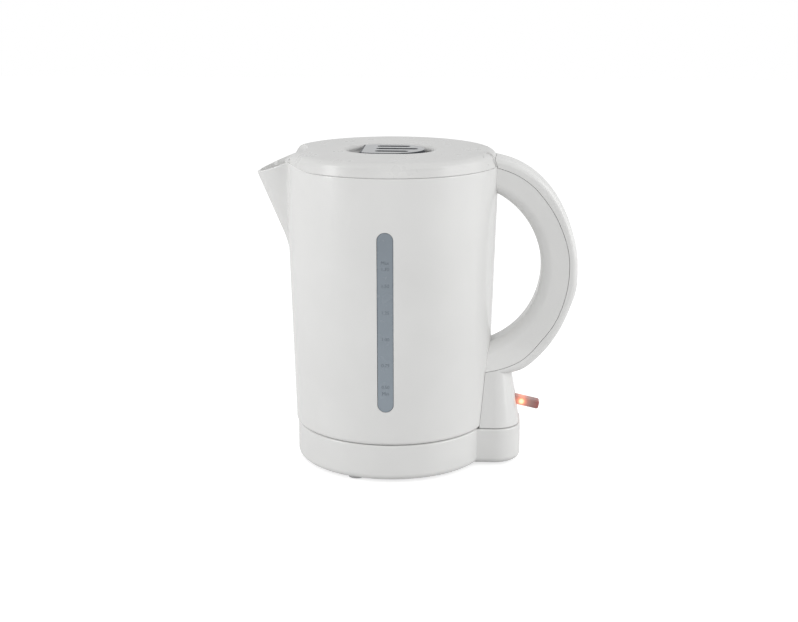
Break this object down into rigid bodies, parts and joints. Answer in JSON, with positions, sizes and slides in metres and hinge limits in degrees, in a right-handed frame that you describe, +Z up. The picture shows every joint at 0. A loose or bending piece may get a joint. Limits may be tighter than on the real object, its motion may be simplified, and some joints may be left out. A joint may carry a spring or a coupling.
{
  "type": "electric kettle",
  "caption": "Cordless electric jug kettle with a conical spout, loop handle, water gauge, hinged lid with a release slide, rocking switch lever and lift-off power base.",
  "frame": {"origin": "on the table under the middle of the kettle's overall box", "axes": "+Z up, -X towards the spout, +X towards the handle; the water gauge faces -Y"},
  "size_m": [0.223, 0.1472, 0.22],
  "materials": {
    "white_gloss": "smooth gloss white moulding",
    "white_satin": "fine satin white moulding",
    "gauge_grey": "slate grey translucent plastic",
    "silver_paint": "silver-grey satin paint on plastic",
    "smoke_clear": "smoky clear plastic",
    "lamp_glass": "small neon lamp",
    "black_matte": "black heat-proof moulding",
    "steel": "bright steel",
    "spring_steel": "drawn spring wire",
    "brass": "bare brass",
    "bimetal": "pressed bimetal sheet",
    "rubber_grey": "soft grey rubber",
    "silicone": "pale silicone rubber"
  },
  "bodies": {
    "power_base": {"base_shell": "white_gloss", "base_plate": "white_satin", "base_feet": "silicone", "base_screws": "steel", "base_socket": "black_matte", "socket_contacts": "brass", "cord_gland": "rubber_grey"},
    "jug": {"jug_shell": "white_gloss", "water_window": "gauge_grey", "filter_frame": "white_satin", "filter_mesh": "steel", "hinge_bracket": "white_satin", "hinge_pin": "steel", "handle_grip": "white_gloss", "handle_screws": "steel", "steam_tube": "silicone", "rear_cover": "white_gloss", "element_head": "steel", "head_gasket": "silicone", "head_screws": "steel", "boil_dry_disc": "bimetal", "heating_element": "steel", "control_body": "black_matte", "inlet_pins": "brass", "steam_disc": "bimetal", "lever_pin": "steel"},
    "lid": {"lid_cover": "white_satin", "lid_inner": "white_satin", "lid_seal": "silicone", "lid_screws": "steel"},
    "latch": {"latch_slide": "silver_paint", "latch_bolt": "white_satin", "latch_spring": "spring_steel"},
    "switch": {"switch_lever": "smoke_clear", "neon_lamp": "lamp_glass"}
  },
  "joints": [
    {"name": "jug_lift", "type": "slide", "parent": "power_base", "child": "jug", "axis": [0, 0, 1], "range_m": [0, 0.12]},
    {"name": "lid_hinge", "type": "hinge", "parent": "jug", "child": "lid", "pos_m": [0.04971, 0, 0.2141], "axis": [0, 1, 0], "range_deg": [0, 78]},
    {"name": "latch_slide", "type": "slide", "parent": "lid", "child": "latch", "axis": [1, 0, 0], "range_m": [0, 0.0055], "stiffness_N_per_m": 300, "springref_m": -0.004, "deforming": ["latch_spring"]},
    {"name": "switch_rock", "type": "hinge", "parent": "jug", "child": "switch", "pos_m": [0.06221, 0, 0.0436], "axis": [0, -1, 0], "range_deg": [0, 24]}
  ]
}
